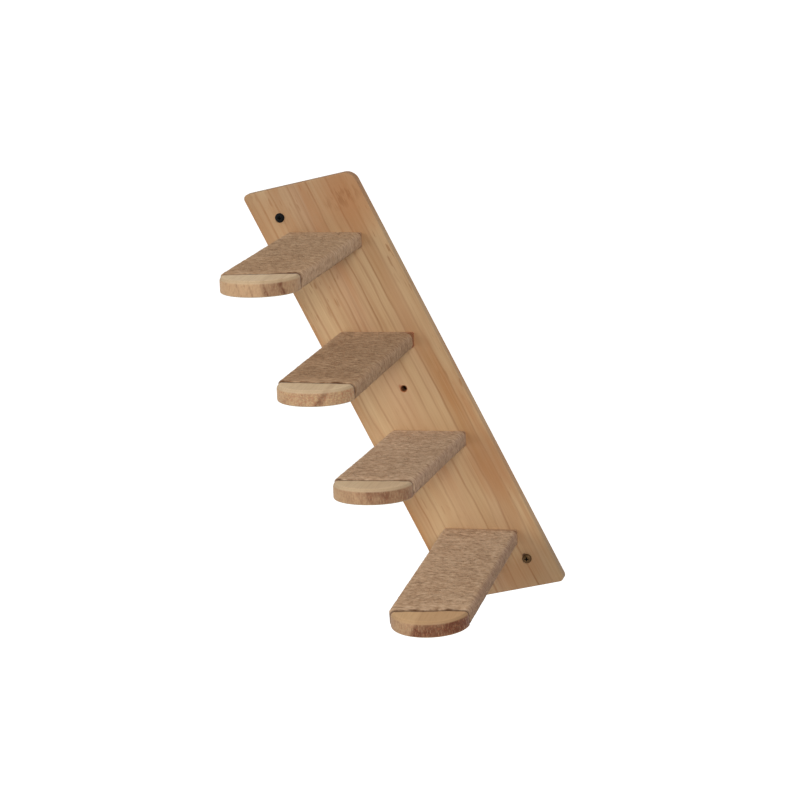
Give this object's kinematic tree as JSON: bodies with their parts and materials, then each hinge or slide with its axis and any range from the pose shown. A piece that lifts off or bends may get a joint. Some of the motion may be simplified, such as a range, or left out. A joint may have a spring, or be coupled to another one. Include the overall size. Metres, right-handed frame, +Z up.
{
  "type": "cat wall stair",
  "caption": "Wall-mounted cat stair: a leaning wooden back board carries four round-nosed wooden steps wound with jute twine.",
  "frame": {"origin": "middle of the back board's back face, where the empty middle wall hole comes out on the wall", "axes": "+Y into the wall, -Y out into the room along the steps, +Z up, +X to the right as seen from the room"},
  "size_m": [0.2262, 0.24, 0.3162],
  "materials": {
    "pine_board": "sanded, bare",
    "pine_step": "sanded, bare",
    "jute_twine": "rough, fuzzy",
    "zinc_steel": "zinc plated",
    "black_steel": "black, satin",
    "bronze_steel": "dark bronze, satin"
  },
  "bodies": {
    "root": {"back_board": "pine_board", "step_1": "pine_step", "step_2": "pine_step", "step_3": "pine_step", "step_4": "pine_step", "jute_wrap_1": "jute_twine", "jute_wrap_2": "jute_twine", "jute_wrap_3": "jute_twine", "jute_wrap_4": "jute_twine", "step_1_screw_left": "zinc_steel", "step_1_screw_right": "zinc_steel", "step_2_screw_left": "zinc_steel", "step_2_screw_right": "zinc_steel", "step_3_screw_left": "zinc_steel", "step_3_screw_right": "zinc_steel", "step_4_screw_left": "zinc_steel", "step_4_screw_right": "zinc_steel", "wall_screw_top": "black_steel", "wall_screw_bottom": "bronze_steel"}
  },
  "joints": []
}
